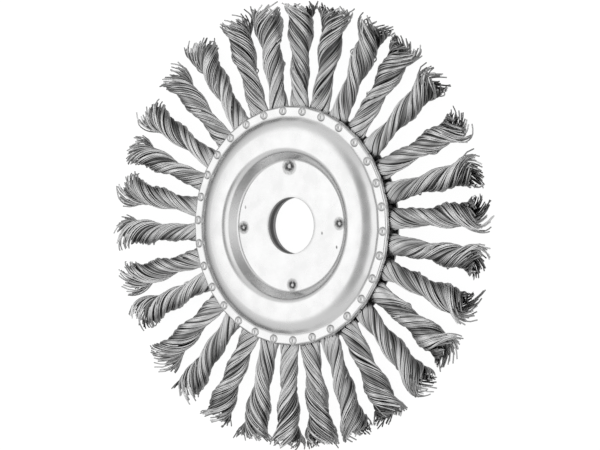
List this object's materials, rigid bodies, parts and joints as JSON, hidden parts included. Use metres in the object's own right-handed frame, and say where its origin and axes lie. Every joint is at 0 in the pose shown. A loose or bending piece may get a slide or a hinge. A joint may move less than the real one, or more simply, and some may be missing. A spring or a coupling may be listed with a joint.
{
  "type": "wire wheel brush",
  "caption": "Knotted wire wheel brush: twisted steel wire knots held on a drilled disc between two pressed covers, with a central bore.",
  "frame": {"origin": "centre of the bore, half way through the stack of disc and covers", "axes": "+Z along the wheel's axis out of the front cover; +X and +Y in the wheel's plane, with +Y up and +X right in the picture"},
  "size_m": [0.178, 0.178, 0.0146],
  "materials": {
    "disc_steel": "bare rolled steel",
    "cover_steel": "bright satin pressed steel",
    "knot_wire": "bare drawn steel wire"
  },
  "bodies": {
    "root": {"hub_disc": "disc_steel", "front_cover": "cover_steel", "rear_cover": "cover_steel", "knot_01": "knot_wire", "knot_02": "knot_wire", "knot_03": "knot_wire", "knot_04": "knot_wire", "knot_05": "knot_wire", "knot_06": "knot_wire", "knot_07": "knot_wire", "knot_08": "knot_wire", "knot_09": "knot_wire", "knot_10": "knot_wire", "knot_11": "knot_wire", "knot_12": "knot_wire", "knot_13": "knot_wire", "knot_14": "knot_wire", "knot_15": "knot_wire", "knot_16": "knot_wire", "knot_17": "knot_wire", "knot_18": "knot_wire", "knot_19": "knot_wire", "knot_20": "knot_wire", "knot_21": "knot_wire", "knot_22": "knot_wire", "knot_23": "knot_wire", "knot_24": "knot_wire", "knot_25": "knot_wire", "knot_26": "knot_wire", "knot_27": "knot_wire", "knot_28": "knot_wire", "knot_29": "knot_wire", "knot_30": "knot_wire"}
  },
  "joints": []
}
